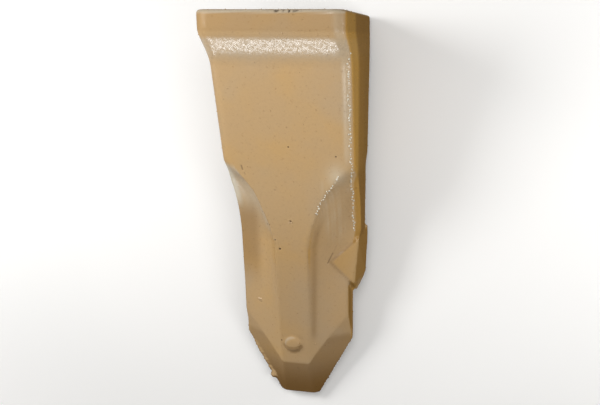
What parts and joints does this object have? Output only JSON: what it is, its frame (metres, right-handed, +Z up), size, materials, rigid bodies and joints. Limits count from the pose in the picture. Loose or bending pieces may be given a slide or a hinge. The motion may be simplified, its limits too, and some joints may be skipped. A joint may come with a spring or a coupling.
{
  "type": "rock bucket tooth",
  "caption": "Cast steel bucket tooth with a collared tapered socket, a centre rib between scalloped flanks and a faceted chisel point, painted ochre.",
  "frame": {"origin": "on the floor under the middle of the tooth's bounding box, the tooth lying on its back", "axes": "+Z up, +Y towards the socket mouth, -Y towards the chisel point, +X to the right of the front panel"},
  "size_m": [0.1682, 0.4926, 0.203],
  "materials": {
    "ochre_paint": "semi-gloss ochre dip paint over a cast surface"
  },
  "bodies": {
    "root": {"bucket_tooth": "ochre_paint"}
  },
  "joints": []
}
